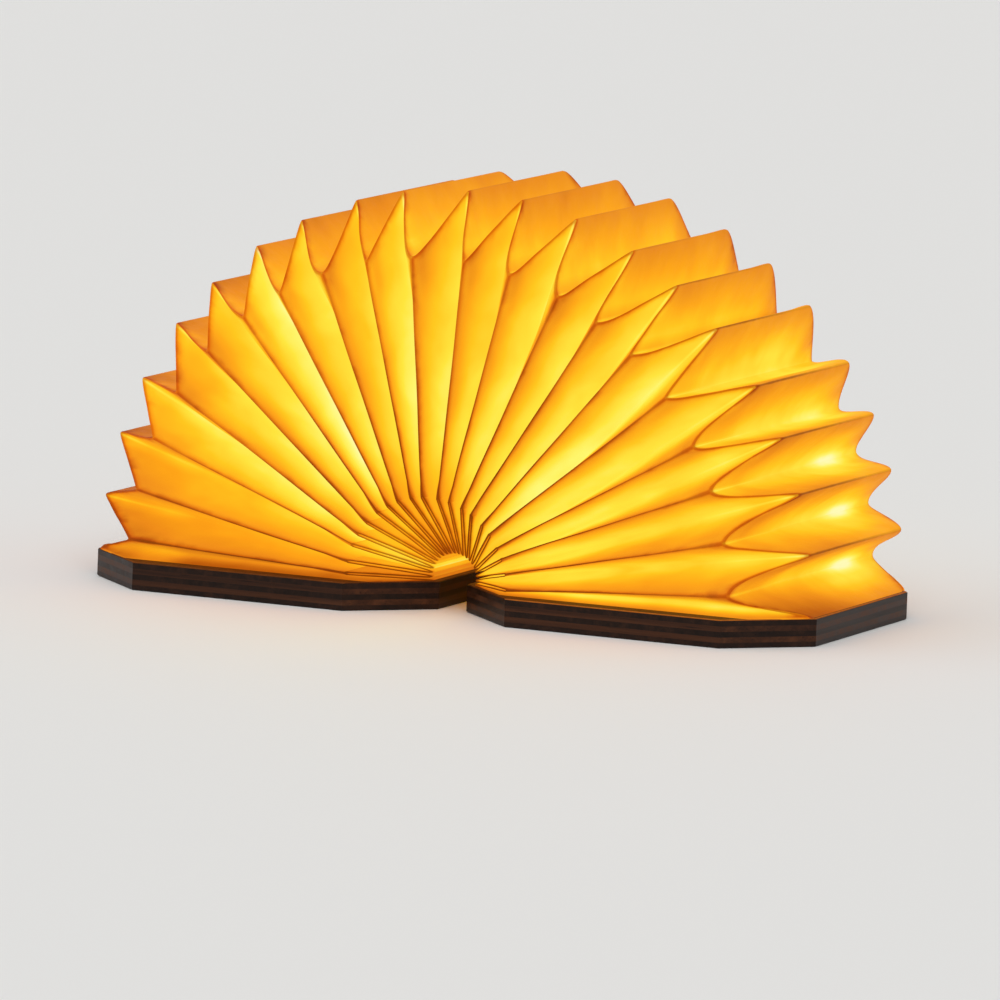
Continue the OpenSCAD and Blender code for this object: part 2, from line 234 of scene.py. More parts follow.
def sections(place, side, t, hook, half):
    """Share of the way from middle to edge, for each station and each t."""
    t = np.abs(t)[None, :]
    p = place[:, None]
    rear = (side > 0)[:, None]
    hub = hub_section(t) + 0 * p
    # The valley of a front wall starts as a crisp crease and gets softer
    u = (p - 1) / 3
    flat = soft_abs(t, 0.03 + 0.16 * smooth(1.0, 0.45, u))
    flat = flat + 0.05 * np.sin(np.pi * flat)
    # The crest is blunt at the rear corners and crisp at the front ones
    blunt = np.where(rear, 0.32, 0.07)
    tip = soft_abs(t, blunt + 0 * p)
    crease = 1 - (1 - tip) ** (1.15 + 1.25 * hook[None, :])
    tau = soft_abs(t, 0.03 if half else blunt + (0.12 - blunt) * smooth(4.0, 4.5, p))
    fore = 1 - (1 - tau) ** (1.3 + 0.4 * smooth(4.0, 4.5, p))
    fore = fore + (crease - fore) * (1 - smooth(4.0, 4.35, p))
    to_hub = 1 - smooth(1.0, 1.75, p)
    to_fore = smooth(3.1, 4.0, p) ** 1.5
    f = hub * to_hub + flat * (1 - to_hub)
    return f * (1 - to_fore) + np.where(p < 4, crease, fore) * to_fore


def is_half(i):
    """Whether pleat i is one of the two that are glued to a cover."""
    return i in (0, LAST)


def middle_angle(i):
    """Degrees from the right cover to the middle of pleat i."""
    return STEP * i + MIDDLE_SHIFT[i]


def pleat_grid(i):
    """Outer skin of pleat i (0 and 20 are the half pleats on the covers): points
    (loop, across, xyz) in mm, with the share across, the place and the side."""
    half = is_half(i)
    middle, edge, glue, place, side = LOOP
    t = {0: ACROSS, LAST: -ACROSS[::-1]}.get(i, T_ROWS)
    hook = np.where(t > 0, HOOK[min(i, PLEATS)], HOOK[max(i - 1, 0)])
    f = sections(place, side, t, hook, half)
    flat = middle[:, None, :] + (edge - middle)[:, None, :] * f[..., None]
    if half:
        # The lower half of its wall curves down to the glue line
        down = np.clip(1 - np.abs(t) / 0.5, 0, 1) ** 2.2
        on_side = (place > 1) & (place < 4)
        flat = flat + (glue[:, None, :] - flat) * down[None, :, None] * on_side[:, None, None]
    r, y = flat[..., 0], flat[..., 1]

    # Angles: even shares between the middle and the two boundary planes, which
    # wander a little, alike for both neighbours
    mid = middle_angle(i)
    angle = np.zeros_like(r)
    for sign, other in ((1, i + 1), (-1, i - 1)):
        rows = t * sign > 0
        if not rows.any() or not 0 <= other <= LAST:
            continue
        bound = (mid + middle_angle(other)) / 2
        seed = min(i, other)
        reach = r[:, rows]
        turn = np.maximum(reach, NEAREST_R)
        shift = np.interp(reach, EDGE_SHIFT_R, [EDGE_SHIFT_HUB[seed], EDGE_SHIFT_FORE[seed]])
        shift = shift + 0.22 * wander(reach, 300 + seed, 4, 0.05)
        sway = np.degrees(shift / turn)
        share = np.abs(t[rows])[None, :]
        angle[:, rows] = mid + (bound - mid + sway * smooth(0.4, 1, share)) * share
        # Uneven hand-made walls, unmoved at their folds
        belly = np.sin(np.pi * np.clip(share, 0, 1)) * smooth(25, 60, reach)
        dent = 0.3 * wander(reach + 1.5 * y[:, rows], 500 + 40 * sign + i, 4, 0.06)
        angle[:, rows] += sign * np.degrees(belly * dent / turn)
    angle[:, t == 0] = mid
    angle = np.radians(angle)
    lift = (BORDER_T + PITCH * (i + t / 2) - STACK / 2)[None, :] + 0 * r
    if half:
        # Just clear of the border that it is glued to
        clear = 0.02 if i == 0 else -0.02
        lift = lift + clear * (1 - np.abs(t))[None, :]
    c, s = np.cos(angle), np.sin(angle)
    points = np.stack([r * c - lift * s, y, AXIS_H + r * s + lift * c], axis=-1)
    return points, t, place, side


def round_angle(points):
    """Degrees round the fold line, from the right cover (0) to the left (180)."""
    angle = np.degrees(np.arctan2(points[..., 2] - AXIS_H, points[..., 0]))
    return np.where(angle < -90, angle + 360, angle)


def grid_normals(points):
    """Unit normals of a ring-shaped grid of points, looking out of the ring."""
    ds = np.roll(points, -1, axis=0) - np.roll(points, 1, axis=0)
    dt = np.gradient(points, axis=1)
    n = np.cross(ds, dt)
    size = np.linalg.norm(n, axis=-1, keepdims=True)
    n /= np.maximum(size, 1e-9)
    flow = ((points - points.mean(axis=(0, 1))) * n * size).sum(-1)
    return n if flow.sum() > 0 else -n


def distance_to(points, line):
    """Distance (mm) from each point to a polyline."""
    flat = points.reshape(-1, 3)
    best = np.full(len(flat), FAR_AWAY)
    for a, b in zip(line[:-1], line[1:]):
        ab = b - a
        k = np.clip(((flat - a) @ ab) / max(ab @ ab, 1e-9), 0, 1)
        d = np.linalg.norm(flat - (a + k[:, None] * ab), axis=1)
        best = np.minimum(best, d)
    return best.reshape(points.shape[:-1])


# -------------------------------------------------------------------- glow

# Brightness of the lit paper round the half circle, in degrees from the right cover,
# and how much it falls towards the fore-edge and towards the hub. These numbers and
# those in the functions below were chosen by hand after scratch programs had measured
# and fitted the photograph's brightness, and changed in rounds after they had measured
# how the brightness of a render differed from it.
BRIGHT_ANGLE = [0, 12, 40, 75, 100, 125, 145, 156, 163, 171, 180]
BRIGHT_FRONT = [.80, .80, .83, .89, .87, .97, .90, .84, .76, .64, .52]
BRIGHT_FORE = [.82, .80, .84, .86, .80, .70, .54, .43, .38, .30, .24]
OUTER_FALL = [.02, .03, .12, .13, .12, .08, .20, .14, .12, .10, .06]
HUB_FALL = [.25, .22, .34, .46, .52, .50, .52, .30, .06, .15, .45]
# How much each hand-folded pleat differs in brightness. Worked out by a scratch
# program from the photograph, then adjusted by hand after it had measured again.
TONE = [0.95, 0.93, 0.97, 1.00, 1.00, 1.08, 0.98, 0.94, 0.96, 0.90, 0.96,
        1.05, 0.89, 0.92, 1.04, 0.92, 0.97, 1.00, 0.85, 0.84, 0.98]
# The brightest spots, where light from the panel falls straight into the lowest folds
HOT_Y, HOT_R = 35.5, 119.0
# How dark the painted shade along the outer folds is, near the hub and near the fore-edge
LINE_ANGLE = [0, 60, 72, 122, 130, 156, 165, 180]
LINE_NEAR = [.98, .98, .84, .78, .66, .58, .74, 1.0]
LINE_FAR = [.46, .46, .30, .30, .22, .20, .50, .95]

# In the next functions angle is in degrees from the right cover, r in mm from the
# fold line, y in mm along it, and t from -1 to 1 across the pleat.


def front_glow(angle, r, y, t):
    """Brightness of the front and rear walls, which is highest in their middle."""
    share = np.abs(t)
    left = smooth(140, 165, angle)
    deep = 44.5 + 11 * (1 - smooth(30, 92, r))
    out_side = np.clip((np.abs(y) - deep) / (SIDE_Y - deep), 0, 1)
    out_hub = np.clip((54 - r) / 44, 0, 1)
    # Walls that look down on the low right side fade evenly to their edge
    power = 2.2 - 1.1 * smooth(42, 20, angle) * (t < 0)
    fall = 0.58 - 0.26 * left - 0.08 * smooth(85, 110, r)
    hub_fall = np.interp(angle, BRIGHT_ANGLE, HUB_FALL)
    glow = np.interp(angle, BRIGHT_ANGLE, BRIGHT_FRONT) + 0.05 * (1 - smooth(45, 85, r))
    glow = glow * (1 - fall * out_side ** power) * (1 - hub_fall * out_hub)
    glow = glow - np.interp(angle, BRIGHT_ANGLE, OUTER_FALL) * smooth(88, 120, r)
    # Before the fore corner the middles are brighter, past it no longer
    glow = glow + smooth(95, 112, r) * (0.12 - 0.14 * share)
    glow = glow - smooth(116, 127, r) * (0.12 - 0.15 * share)
    glow = glow + 0.10 * smooth(98, 112, r) * smooth(0.7, 0.9, share) * smooth(145, 125, angle)
    # The undersides of the folds that turn away from the lamp's right end
    middle = smooth(50, 72, angle) * smooth(142, 125, angle)
    under = smooth(0.4, 0.75, -t) * (1 - 0.4 * smooth(0.85, 0.97, -t))
    before_edge = smooth(0.3, 0.5, -t) * smooth(0.88, 0.75, share)
    glow = glow + 0.30 * middle * smooth(103, 113, r) * under
    glow = glow + 0.10 * smooth(60, 45, angle) * smooth(114, 121, r) * under
    # Their upper sides are a little dimmer
    over = smooth(0.0, 0.3, t) * smooth(0.9, 0.7, t)
    glow = glow - 0.08 * smooth(50, 70, angle) * smooth(100, 112, r) * over
    # The undersides again, just before their edge
    glow = glow + 0.10 * middle * smooth(112, 121, r) * before_edge
    # The left side's inner ends and the middles of its outer ends
    glow = glow + 0.17 * smooth(115, 150, angle) * smooth(44, 34, r) * smooth(0.95, 0.5, t)
    glow = glow + 0.09 * left * smooth(100, 115, r) * smooth(0.3, 0.05, share)
    # The paper between the hub's slits is a little dimmer
    glow = glow - 0.09 * smooth(14, 9, r) * smooth(48, 44, np.abs(y))
    # Towards the hub: on the right, undersides dim and upper sides bright
    underside = smooth(0.3, 0.8, -t) - 0.4
    glow = glow - 0.15 * smooth(85, 65, angle) * smooth(62, 38, r) * underside
    # and on the left, middles bright and edges dim
    return glow + smooth(118, 135, angle) * smooth(105, 50, r) * (0.14 - 0.28 * share)


def fore_glow(angle, r, y, t):
    """Brightness of the walls along the fore-edge, highest where they are deepest."""
    out_fore = np.clip((r - 118.5) / 22.5, 0, 1)
    glow = np.interp(angle, BRIGHT_ANGLE, BRIGHT_FORE) * (1 - 0.55 * out_fore ** 0.8)
    # The left side is dimmest at its front, and so is the low right side
    glow = glow + 0.16 * smooth(128, 150, angle) * smooth(-44, -8, y)
    glow = glow - 0.07 * smooth(24, 8, angle) * smooth(-25, -55, y)
    # The low right side: undersides dim at the front, upper sides bright at the rear
    low = smooth(52, 36, angle)
    dim = -0.12 * smooth(-15, -45, y)
    bright = 0.15 * smooth(-25, 10, y) * smooth(118, 130, r)
    glow = glow + low * np.where(t < 0, dim, bright)
    # The rear end and the deep folds above the low side are dimmer
    glow = glow - 0.20 * smooth(40, 55, y) - 0.27 * smooth(124, 118, r) * smooth(36, 50, angle)
    rear_fold = 0.09 * smooth(40, 54, y) * smooth(127, 120, r)
    front_end = 0.08 * smooth(-38, -52, y) * smooth(134, 126, r)
    glow = glow + low * (rear_fold - front_end)
    # The undersides' front corners are brighter, and a patch at the low side's rear
    glow = glow + 0.15 * smooth(-45, -56, y) * smooth(126, 133, r) * (t < 0)
    patch = smooth(5, 15, y) * smooth(45, 30, y) * smooth(120, 126, r) * smooth(137, 131, r)
    glow = glow + 0.07 * low * patch
    hot = np.exp(-((y - HOT_Y) / np.where(y > HOT_Y, 18, 12)) ** 2 - ((r - HOT_R) / 3.0) ** 2)
    tail = np.exp(-((y - HOT_Y + 3) / 27) ** 2 - ((r - HOT_R) / 6) ** 2)
    return glow + (0.24 * hot + 0.14 * tail) * smooth(42, 14, angle)


def left_half_share(r, share):
    """How the left half pleat differs from a whole one: on the front, on the fore-edge."""
    from_glue = smooth(0.0, 0.32, share)
    on_front = 0.72 + 0.18 * smooth(40, 100, r)
    on_front = (on_front - 0.04 + 0.14 * smooth(98, 110, r)) * (0.44 + 0.56 * from_glue)
    on_front = on_front + 0.12 * smooth(98, 108, r) * smooth(124, 116, r)
    return on_front, 0.62 + 0.38 * share + 0 * r


def right_half_share(r, y, share):
    """The same for the right half pleat."""
    from_glue = smooth(0.0, 0.22, share)
    on_front = 1.10 * (0.54 + 0.46 * from_glue) * (1 - 0.16 * smooth(0.3, 0.8, share))
    on_front = on_front - 0.20 * smooth(60, 40, r)
    on_front = on_front - 0.08 * smooth(104, 112, r) * smooth(0.3, 0.15, share)
    on_fore = 0.40 + 0.17 * smooth(-45, 10, y) + 0.45 * share
    on_fore = on_fore + 0.20 * smooth(-35, 30, y) * smooth(119, 127, r)
    on_fore = on_fore + 0.25 * smooth(38, 54, y) * smooth(133, 125, r) * smooth(1.0, 0.6, share)
    return on_front, on_fore


def glow_at(points, t, place, i):
    """How brightly the paper shines at each point. The folds are brightest where
    they reach deepest into the lamp and dimmest at their outer edges."""
    y = points[..., 1]
    r = np.hypot(points[..., 0], points[..., 2] - AXIS_H)
    angle = round_angle(points)
    across = t[None, :]
    share = np.abs(across)
    on_fore_edge = (place > 4)[:, None]
    glow = np.where(on_fore_edge, fore_glow(angle, r, y, across), front_glow(angle, r, y, across))
    if i == 0:
        on_front, on_fore = right_half_share(r, y, share)
        glow = glow * np.where(on_fore_edge, on_fore, on_front)
    if i == LAST:
        on_front, on_fore = left_half_share(r, share)
        glow = glow * np.where(on_fore_edge, on_fore, on_front)
    return glow * TONE[i]


def fold_rows(t):
    """The rows of a grid that lie on a pleat's outer edges."""
    return [row for row in (0, len(t) - 1) if abs(abs(t[row]) - 1) < 1e-6]


def in_order(stations, key):
    """The numbers of the chosen stations, in the order of key."""
    chosen = np.where(stations)[0]
    return chosen[np.argsort(key[chosen])]


def pleat_attributes(points, t, place, side, i):
    """Brightness, and the distances to the painted lines, at every point."""
    shape = points.shape[:-1]
    ends = (side < 0, side > 0)
    along_side = (place >= 1) & (place <= 4)
    along_fore = place >= 4
    middle_row = int(np.argmin(np.abs(t)))
    # The lines of painted shade: the outer edges and the creases across the corners
    line = np.full(shape, FAR_AWAY)
    for end in ends:
        order = in_order(along_side & end, place)
        for row in fold_rows(t):
            line = np.minimum(line, distance_to(points, points[order, row]))
    for j in np.where((np.abs(place - 1) < 1e-9) | (np.abs(place - 4) < 1e-9))[0]:
        line = np.minimum(line, distance_to(points, points[j]))
    # The folded line along the fore-edge, which gets a painted shade line too
    fore = in_order(along_fore, points[:, middle_row, 1])
    ridge = distance_to(points, points[fore, middle_row])
    # Bright inner folds: the middle of the front and rear walls, the edges of the
    # fore walls, each at its strongest where it starts in a corner
    valley = np.full(shape, FAR_AWAY)
    for end in ends:
        order = in_order(along_side & end, place)
        valley = np.minimum(valley, distance_to(points, points[order, middle_row]))
        order = in_order(along_fore & end, place)
        for row in fold_rows(t):
            valley = np.minimum(valley, distance_to(points, points[order, row]))
    on_fore_edge = (place > 4)[:, None]
    from_corner = np.where(place > 4, (place - 4) * FORE_RUN_HALF, (4 - place) / 3 * SIDE_RUN)
    valley_glow = np.exp(-from_corner / VALLEY_FADE)[:, None] * np.where(on_fore_edge, 0.8, 1.0)
    valley_glow = valley_glow * (place > 2.2)[:, None]
    valley_glow = valley_glow * np.where(on_fore_edge, 1 - smooth(-30, 25, points[..., 1]), 1)
    return glow_at(points, t, place, i), line, ridge, valley, valley_glow


def make_mesh(name, outer, normals, attributes, sharp):
    """A closed shell of paper, from the grid of its outer skin."""
    inner = outer - normals * PAPER_T
    loops, rows = outer.shape[:2]
    verts = np.concatenate([outer.reshape(-1, 3), inner.reshape(-1, 3)]) * MM
    size = loops * rows
    k, j = np.meshgrid(np.arange(loops), np.arange(rows - 1), indexing="ij")
    k, j = k.ravel(), j.ravel()
    k2 = (k + 1) % loops
    quad = np.stack([k * rows + j, k2 * rows + j, k2 * rows + j + 1, k * rows + j + 1], -1)
    back = quad[:, ::-1] + size
    e = np.arange(loops)
    e2 = (e + 1) % loops
    low = np.stack([e * rows, e * rows + size, e2 * rows + size, e2 * rows], -1)
    high = np.stack([e * rows + rows - 1, e2 * rows + rows - 1,
                     e2 * rows + rows - 1 + size, e * rows + rows - 1 + size], -1)
    faces = np.concatenate([quad, back, low, high])
    # Signed volume tells which way the faces look
    a, b, c, d = (verts[faces[:, m]] for m in range(4))
    volume = (np.cross(a, b) * c).sum() + (np.cross(a, c) * d).sum()
    if volume < 0:
        faces = faces[:, ::-1]
    mesh = bpy.data.meshes.new(name)
    mesh.from_pydata(verts.tolist(), [], faces.tolist())
    for key, values in attributes.items():
        both = np.concatenate([values.ravel(), values.ravel()])
        mesh.attributes.new(key, "FLOAT", "POINT").data.foreach_set("value", both.astype(np.float32))
    mesh.polygons.foreach_set("use_smooth", [True] * len(mesh.polygons))
    mesh.set_sharp_from_angle(angle=math.radians(sharp))
    mesh.update()
    mesh.validate()
    obj = bpy.data.objects.new(name, mesh)
    bpy.context.scene.collection.objects.link(obj)
    return obj


# --------------------------------------------------------------- materials

class Nodes:
    """Shorthand for building one material's node tree. Noise scales are per metre."""

    def __init__(self, name):
        self.mat = bpy.data.materials.new(name)
        self.mat.use_nodes = True
        self.tree = self.mat.node_tree
        self.tree.nodes.clear()
        self.out = self.tree.nodes.new("ShaderNodeOutputMaterial")
        self.bsdf = self.tree.nodes.new("ShaderNodeBsdfPrincipled")
        self.tree.links.new(self.bsdf.outputs[0], self.out.inputs["Surface"])

    def link(self, a, b):
        self.tree.links.new(a, b)

    def put(self, socket, value):
        if isinstance(value, bpy.types.NodeSocket):
            self.link(value, socket)
        else:
            socket.default_value = value

    def math(self, op, a, b=0.0, c=0.0, clamp=False):
        n = self.tree.nodes.new("ShaderNodeMath")
        n.operation = op
        n.use_clamp = clamp
        for k, v in enumerate((a, b, c)):
            self.put(n.inputs[k], v)
        return n.outputs[0]

    def spread(self, x, lo, hi, to_lo=0.0, to_hi=1.0):
        n = self.tree.nodes.new("ShaderNodeMapRange")
        n.interpolation_type = "SMOOTHSTEP"
        for k, v in enumerate((x, lo, hi, to_lo, to_hi)):
            self.put(n.inputs[k], v)
        return n.outputs[0]

    def attribute(self, name):
        n = self.tree.nodes.new("ShaderNodeAttribute")
        n.attribute_name = name
        return n.outputs["Fac"]

    def coords(self, scale=(1, 1, 1)):
        c = self.tree.nodes.new("ShaderNodeTexCoord")
        m = self.tree.nodes.new("ShaderNodeMapping")
        m.inputs["Scale"].default_value = scale
        self.link(c.outputs["Object"], m.inputs[0])
        return m.outputs[0]

    def noise(self, where, scale, detail=3.0, rough=0.55, distort=0.0):
        n = self.tree.nodes.new("ShaderNodeTexNoise")
        self.link(where, n.inputs["Vector"])
        n.inputs["Scale"].default_value = scale
        n.inputs["Detail"].default_value = detail
        n.inputs["Roughness"].default_value = rough
        n.inputs["Distortion"].default_value = distort
        return n.outputs["Fac"]

    def ramp(self, x, stops):
        n = self.tree.nodes.new("ShaderNodeValToRGB")
        el = n.color_ramp.elements
        while len(el) > 1:
            el.remove(el[-1])
        el[0].position, el[0].color = stops[0][0], (*stops[0][1], 1)
        for pos, col in stops[1:]:
            e = el.new(pos)
            e.color = (*col, 1)
        self.link(x, n.inputs[0])
        return n.outputs[0]

    def mix(self, fac, a, b, kind="MIX"):
        n = self.tree.nodes.new("ShaderNodeMix")
        n.data_type = "RGBA"
        n.blend_type = kind
        self.put(n.inputs[0], fac)
        for k, v in ((6, a), (7, b)):
            if isinstance(v, tuple):
                v = (*v[:3], 1)
            self.put(n.inputs[k], v)
        return n.outputs[2]

    def bump(self, height, strength, distance):
        n = self.tree.nodes.new("ShaderNodeBump")
        n.inputs["Strength"].default_value = strength
        n.inputs["Distance"].default_value = distance
        self.link(height, n.inputs["Height"])
        return n.outputs[0]

    def around_zero(self, noise, strength):
        """Noise shifted from its middle of 0.5 to 0, times strength."""
        return self.math("MULTIPLY", self.math("SUBTRACT", noise, 0.5), strength)

    def set(self, **sockets):
        for name, value in sockets.items():
            key = name.replace("_", " ")
            if isinstance(value, tuple) and len(value) == 3:
                value = (*value, 1)
            self.put(self.bsdf.inputs[key], value)
        return self.mat


def srgb(r, g, b):
    """The linear colour of an sRGB colour that is written from 0 to 255."""
    def lin(v):
        v /= 255
        return v / 12.92 if v <= 0.04045 else ((v + 0.055) / 1.055) ** 2.4
    return (lin(r), lin(g), lin(b))


# The lit paper's colour at each brightness
GLOW_STOPS = [
    (0.00, srgb(116, 48, 4)),
    (0.18, srgb(188, 96, 14)),
    (0.36, srgb(234, 142, 26)),
    (0.52, srgb(252, 171, 26)),
    (0.68, srgb(255, 202, 34)),
    (0.84, srgb(255, 230, 68)),
    (0.96, srgb(255, 244, 118)),
    (1.08, srgb(255, 251, 190)),
]
GLOW_TOP = 1.12
# Painted shade: the colour of the dark lines along the folds, and of the tint beside them
FOLD_SHADE_COLOUR = srgb(132, 60, 0)
FOLD_SHADE_TINT = srgb(236, 168, 70)
PAPER_BASE_SHARE = 0.24    # how much of its lit colour the paper also reflects
PAPER_GLOW = 0.80


def paper_material(name):
    """Translucent fibrous paper, lit from inside as its attributes say."""
    m = Nodes(name)
    where = m.coords()
    cloud = m.noise(where, 48, 2, 0.5, 0.3)
    fine = m.noise(where, 240, 4, 0.65)
    fibre = m.noise(where, 900, 3, 0.7, 1.5)
    patch = m.math("ADD", m.around_zero(cloud, 0.26), m.around_zero(fine, 0.025))
    patch = m.math("ADD", patch, m.around_zero(fibre, 0.02))
    patch = m.math("MULTIPLY", patch, m.spread(m.attribute("glow"), 0.15, 0.75, 0.4, 1.0))
    near_valley = m.spread(m.attribute("valley"), 0.1, 1.0, 1.0, 0.0)
    fold = m.math("MULTIPLY", near_valley, m.attribute("valley_glow"))
    shine = m.math("ADD", m.attribute("glow"), m.math("MULTIPLY", fold, 0.22))
    # Painted shade: dim patches along the outer edges
    wobble = m.math("ADD", m.around_zero(m.noise(where, 420, 2), 0.25),
                    m.around_zero(m.noise(where, 110, 2), 0.45))
    d = m.math("ADD", m.attribute("line"), wobble)
    fold_shade_patches = m.math("MULTIPLY", m.spread(d, 0.2, 3.2, 1.0, 0.0),
                    m.spread(m.noise(where, 95, 3), 0.42, 0.68, 0.0, 0.15))
    shine = m.math("SUBTRACT", m.math("ADD", shine, patch), fold_shade_patches)
    shine = m.math("DIVIDE", shine, GLOW_TOP, clamp=True)
    colour = m.ramp(shine, [(stop / GLOW_TOP, tone) for stop, tone in GLOW_STOPS])
    # Painted shade: a soft tint beside the folds, then the dark lines themselves
    beside = m.math("MULTIPLY", m.spread(d, 0.2, 2.0, 1.0, 0.0),
                    m.spread(m.attribute("fold_shade_strength"), 0.35, 0.8, 0.46, 0.66))
    at_crease = m.math("MULTIPLY", m.spread(d, 0.2, 0.9, 0.44, 0.0), m.attribute("crease"))
    soft = m.math("ADD", beside, at_crease, clamp=True)
    colour = m.mix(soft, colour, m.mix(1.0, colour, FOLD_SHADE_TINT, "MULTIPLY"))
    dark = m.math("MULTIPLY", m.spread(d, 0.10, 0.82, 1.0, 0.0), m.attribute("fold_shade_strength"))
    # Painted shade along the folded line of the fore-edge
    near_ridge = m.spread(m.math("ADD", m.attribute("ridge"), wobble), 0.05, 0.85, 1.0, 0.0)
    ridge = m.math("MULTIPLY", near_ridge, m.attribute("ridge_shade"))
    colour = m.mix(m.math("MAXIMUM", dark, ridge), colour, FOLD_SHADE_COLOUR)
    share = m.mix(1.0, colour, (PAPER_BASE_SHARE,) * 3, "MULTIPLY")
    height = m.math("ADD", m.math("MULTIPLY", cloud, 0.6), m.math("MULTIPLY", fine, 0.4))
    m.set(Base_Color=share, Roughness=m.spread(fine, 0.3, 0.7, 0.55, 0.75),
          Emission_Color=colour, Emission_Strength=PAPER_GLOW,
          Normal=m.bump(height, 0.2, 0.0004))
    m.bsdf.inputs["Specular IOR Level"].default_value = 0.06
    return m.mat


PAPER = paper_material("paper_lit")


def border_material(name, rim_glow_share):
    """The glued border, which gets little light: a faint painted glow all over it, and a brighter painted
    glow on the thin line where it ends.
    """
    m = Nodes(name)
    where = m.coords()
    fine = m.noise(where, 260, 4, 0.6)
    split = m.tree.nodes.new("ShaderNodeSeparateXYZ")
    m.link(where, split.inputs[0])
    across = m.math("ABSOLUTE", split.outputs[0])
    along = m.math("ABSOLUTE", split.outputs[1])
    # Distance from the cover's cut corners (at 45 degrees), long sides and fore-edge
    corner_sum = (COVER_FORE + COVER_HALF_DEPTH - CORNER_CUT) * MM
    to_cut = m.math("SUBTRACT", corner_sum, m.math("ADD", across, along))
    cut = m.math("MULTIPLY", to_cut, COS_45)
    rim = m.math("MINIMUM", m.math("SUBTRACT", COVER_HALF_DEPTH * MM, along),
                 m.math("SUBTRACT", COVER_FORE * MM, across))
    rim = m.math("MINIMUM", rim, cut)
    rim = m.spread(m.math("ADD", rim, m.math("MULTIPLY", fine, 0.0004)), 0.0008, 0.0016, 1.0, 0.0)
    dull = m.ramp(fine, [(0.3, srgb(66, 30, 8)), (0.7, srgb(94, 46, 13))])
    lit = m.ramp(fine, [(0.3, srgb(176, 92, 24)), (0.7, srgb(206, 116, 34))])
    colour = m.mix(m.math("MULTIPLY", rim, rim_glow_share), dull, lit)
    m.set(Base_Color=m.mix(1.0, colour, (0.5,) * 3, "MULTIPLY"), Roughness=0.65,
          Emission_Color=colour, Emission_Strength=0.5,
          Normal=m.bump(fine, 0.3, 0.0002))
    m.bsdf.inputs["Specular IOR Level"].default_value = 0.15
    return m.mat


# The right border's rim gets more painted glow than the left border's
RIGHT_BORDER = border_material("paper_border_right", 0.75)
LEFT_BORDER = border_material("paper_border_left", 0.15)


def wood_material(name, dark, mid, light, along, seed):
    """Dark hardwood: straight growth bands, fine pores and a satin oil finish."""
    m = Nodes(name)
    k = 0 if along == "x" else 1

    def grain(lengthwise, crosswise):
        scale = [crosswise] * 3
        scale[k] = lengthwise
        c = m.coords(tuple(scale))
        move = m.tree.nodes.new("ShaderNodeVectorMath")
        move.operation = "ADD"
        move.inputs[1].default_value = (seed, seed * 1.7, seed * 0.6)
        m.link(c, move.inputs[0])
        return move.outputs[0]

    bands = m.noise(grain(5, 160), 1.0, 3, 0.55)
    fine = m.noise(grain(16, 620), 1.0, 3, 0.6)
    pores = m.noise(grain(60, 1500), 1.0, 2, 0.6)
    fleck = m.spread(pores, 0.60, 0.72, 0.0, 1.0)
    tone = m.math("ADD", m.math("MULTIPLY", bands, 0.6), m.math("MULTIPLY", fine, 0.4))
    colour = m.ramp(tone, [(0.34, dark), (0.5, mid), (0.66, light)])
    colour = m.mix(m.math("MULTIPLY", fleck, 0.6), colour, tuple(v * 0.35 for v in dark))
    height = m.math("SUBTRACT", m.math("MULTIPLY", tone, 0.5), fleck)
    m.set(Base_Color=colour, Roughness=m.spread(tone, 0.3, 0.7, 0.34, 0.50),
          Normal=m.bump(height, 0.2, 0.0001))
    m.bsdf.inputs["Specular IOR Level"].default_value = 0.16
    return m.mat


def plain_material(name, colour, rough, metallic, grain, contrast, bump, stretch=(1, 1, 1)):
    """One colour with fine grain and uneven wear, for the parts inside."""
    m = Nodes(name)
    c = m.coords(stretch)
    n = m.noise(c, grain, 3, 0.6)
    wear = m.noise(c, grain / 9, 3, 0.55)
    lo = tuple(v * (1 - contrast) for v in colour)
    hi = tuple(min(1, v * (1 + contrast)) for v in colour)
    tone = m.math("ADD", m.math("MULTIPLY", n, 0.5), m.math("MULTIPLY", wear, 0.5))
    m.set(Base_Color=m.ramp(tone, [(0.3, lo), (0.7, hi)]),
          Roughness=m.spread(wear, 0.3, 0.7, rough * 0.85, min(1, rough * 1.15)),
          Normal=m.bump(n, bump, 0.00008))
    m.bsdf.inputs["Metallic"].default_value = metallic
    return m.mat


# ------------------------------------------------------------------- pleats

SHARP_HALF, SHARP_WHOLE = 55, 28    # folds that turn by more degrees look crisp


def line_attributes(points, place, line, ridge_share):
    """The painted shade lines' distance and darkness, the corner creases, and how dark the
    painted shade along the folded line of the fore-edge is."""
    r = np.hypot(points[..., 0], points[..., 2] - AXIS_H)
    angle = round_angle(points)
    near = np.interp(angle, LINE_ANGLE, LINE_NEAR)
    far = np.interp(angle, LINE_ANGLE, LINE_FAR)
    fold_shade_strength = (0.25 + 0.75 * smooth(0.88, 1.0, place))[:, None]
    fold_shade_strength = fold_shade_strength * (near + (far - near) * smooth(48, 95, r))
    crease = smooth(3.7, 3.95, place)[:, None] + 0 * line
    fold_shade_strength = fold_shade_strength * (1 - 0.22 * crease)
    line = line / (1.15 + 0.40 * smooth(33, 52, r) + 0.4 * smooth(168, 175, angle))
    ridge_shade = (0.72 - 0.50 * smooth(-20, 36, points[..., 1])) * (1 - 0.85 * smooth(42, 68, angle))
    return line, fold_shade_strength, crease, ridge_shade * ridge_share


